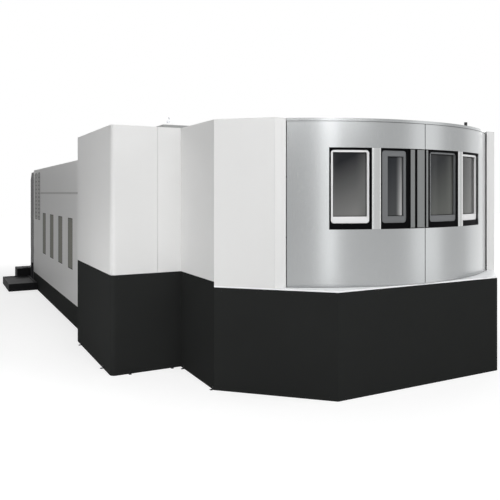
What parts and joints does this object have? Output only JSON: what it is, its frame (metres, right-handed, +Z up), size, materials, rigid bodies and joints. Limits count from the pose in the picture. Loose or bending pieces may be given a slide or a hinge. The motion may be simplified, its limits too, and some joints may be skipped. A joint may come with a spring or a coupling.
{
  "type": "cnc machining center",
  "caption": "Large enclosed horizontal machining center with curved sliding doors over a set-up station, a pallet change arm, a travelling column and a rotary table.",
  "frame": {"origin": "on the floor, under the middle of the machine's bounding box", "axes": "+Y from the curved front doors to the back, +X to the right as seen from the front, +Z up"},
  "size_m": [8.41, 14.404, 4.418],
  "materials": {
    "cover_white": "satin",
    "skirt_black": "semi-matte",
    "door_silver": "satin",
    "frame_black": "semi-matte",
    "trim_light": "satin",
    "smoked_glass": "clear, smoked",
    "grip_aluminium": "anodised",
    "hood_grey": "satin",
    "grille_dark": "matte",
    "cabinet_dark": "semi-matte",
    "tank_black": "semi-matte",
    "lamp_black": "matte",
    "casting_grey": "painted",
    "ground_steel": "ground",
    "rack_steel": "matte",
    "panel_grey": "semi-matte",
    "button_red": "gloss"
  },
  "bodies": {
    "frame": {"skirt_front": "skirt_black", "skirt_sides": "skirt_black", "cover_corner_left": "cover_white", "cover_corner_right": "cover_white", "covers_left": "cover_white", "cover_right": "cover_white", "roof_front": "cover_white", "roof_rear": "cover_white", "column_hood": "hood_grey", "door_header": "door_silver", "door_sill": "trim_light", "wall_left": "cover_white", "wall_back": "cover_white", "wall_right": "cover_white", "side_windows": "smoked_glass", "side_grilles": "grille_dark", "entry_rails": "ground_steel", "cabinet": "cabinet_dark", "drip_tray": "tank_black", "coolant_tank": "tank_black", "signal_lamp": "lamp_black", "bed": "casting_grey", "levelling_pads": "ground_steel", "guideways": "ground_steel", "changer_base": "casting_grey", "partition_track": "ground_steel", "tool_rack": "rack_steel", "tools": "ground_steel", "changer_post": "casting_grey"},
    "door_left": {"door_left": "door_silver", "door_left_frames": "frame_black", "door_left_trims": "trim_light", "door_left_panes": "smoked_glass", "door_left_grip": "grip_aluminium"},
    "door_right": {"door_right": "door_silver", "door_right_frames": "frame_black", "door_right_trims": "trim_light", "door_right_panes": "smoked_glass", "door_right_grip": "grip_aluminium"},
    "partition_left": {"partition_left": "cover_white"},
    "partition_right": {"partition_right": "cover_white"},
    "setup_table": {"setup_turntable": "ground_steel", "pallet_setup": "casting_grey"},
    "arm_lift": {"arm_lift": "ground_steel"},
    "change_arm": {"change_arm": "casting_grey"},
    "table": {"table": "casting_grey"},
    "rotary_table": {"rotary_table": "ground_steel", "pallet_machining": "casting_grey"},
    "column": {"column": "casting_grey"},
    "spindle_head": {"spindle_head": "casting_grey"},
    "spindle": {"spindle": "ground_steel"},
    "changer_arm": {"changer_arm": "ground_steel"},
    "tool_mast": {"tool_mast": "rack_steel"},
    "tool_lift": {"tool_lift": "ground_steel"},
    "entry_door": {"entry_door": "cover_white", "entry_pane": "smoked_glass"},
    "control_panel": {"control_panel": "panel_grey"},
    "emergency_stop": {"emergency_stop": "button_red"},
    "cabinet_door_left": {"cabinet_door_left": "cabinet_dark"},
    "cabinet_door_right": {"cabinet_door_right": "cabinet_dark"}
  },
  "joints": [
    {"name": "door_left_swing", "type": "hinge", "parent": "frame", "child": "door_left", "pos_m": [0.435, -3.652, 2.7], "axis": [0, 0, -1], "range_deg": [0, 17]},
    {"name": "door_right_swing", "type": "hinge", "parent": "frame", "child": "door_right", "pos_m": [0.435, -3.652, 2.7], "axis": [0, 0, 1], "range_deg": [0, 17]},
    {"name": "partition_left_slide", "type": "slide", "parent": "frame", "child": "partition_left", "axis": [-1, 0, 0], "range_m": [0, 1.3]},
    {"name": "partition_right_slide", "type": "slide", "parent": "frame", "child": "partition_right", "axis": [1, 0, 0], "range_m": [0, 1.3]},
    {"name": "setup_table_turn", "type": "hinge", "parent": "frame", "child": "setup_table", "pos_m": [0.435, -5.252, 1.1], "axis": [0, 0, 1], "continuous": true},
    {"name": "arm_raise", "type": "slide", "parent": "frame", "child": "arm_lift", "axis": [0, 0, 1], "range_m": [0, 0.06]},
    {"name": "arm_swing", "type": "hinge", "parent": "arm_lift", "child": "change_arm", "pos_m": [0.435, -3.652, 1.2], "axis": [0, 0, -1], "range_deg": [0, 90]},
    {"name": "table_travel", "type": "slide", "parent": "frame", "child": "table", "axis": [0, 1, 0], "range_m": [0, 1.37]},
    {"name": "rotary_table_turn", "type": "hinge", "parent": "table", "child": "rotary_table", "pos_m": [0.435, -2.052, 1.1], "axis": [0, 0, 1], "continuous": true},
    {"name": "column_travel", "type": "slide", "parent": "frame", "child": "column", "axis": [1, 0, 0], "range_m": [-1.1, 1.1]},
    {"name": "head_travel", "type": "slide", "parent": "column", "child": "spindle_head", "axis": [0, 0, 1], "range_m": [-0.43, 1.2]},
    {"name": "spindle_turn", "type": "hinge", "parent": "spindle_head", "child": "spindle", "pos_m": [0.435, 0.122, 2.4], "axis": [0, 1, 0], "continuous": true},
    {"name": "changer_arm_swing", "type": "hinge", "parent": "frame", "child": "changer_arm", "pos_m": [-1.515, -0.178, 2.4], "axis": [0, 1, 0], "range_deg": [-90, 90]},
    {"name": "tool_mast_travel", "type": "slide", "parent": "frame", "child": "tool_mast", "axis": [0, 1, 0], "range_m": [-1.3, 3]},
    {"name": "tool_lift_travel", "type": "slide", "parent": "tool_mast", "child": "tool_lift", "axis": [0, 0, 1], "range_m": [-1.1, 1.4]},
    {"name": "entry_door_slide", "type": "slide", "parent": "frame", "child": "entry_door", "axis": [0, 1, 0], "range_m": [0, 1.38]},
    {"name": "control_panel_swing", "type": "hinge", "parent": "frame", "child": "control_panel", "pos_m": [3.425, -1.728, 2], "axis": [0, 0, 1], "range_deg": [-75, 60]},
    {"name": "emergency_stop_push", "type": "slide", "parent": "control_panel", "child": "emergency_stop", "axis": [0, 1, 0], "range_m": [0, 0.006], "stiffness_N_per_m": 1500},
    {"name": "cabinet_door_left_swing", "type": "hinge", "parent": "frame", "child": "cabinet_door_left", "pos_m": [-1.016, 6.247, 2], "axis": [0, 0, -1], "range_deg": [0, 110]},
    {"name": "cabinet_door_right_swing", "type": "hinge", "parent": "frame", "child": "cabinet_door_right", "pos_m": [-3.41, 6.247, 2], "axis": [0, 0, 1], "range_deg": [0, 110]}
  ],
  "couplings": [
    {"joint": "partition_right_slide", "follows": "partition_left_slide", "ratio": 1}
  ]
}
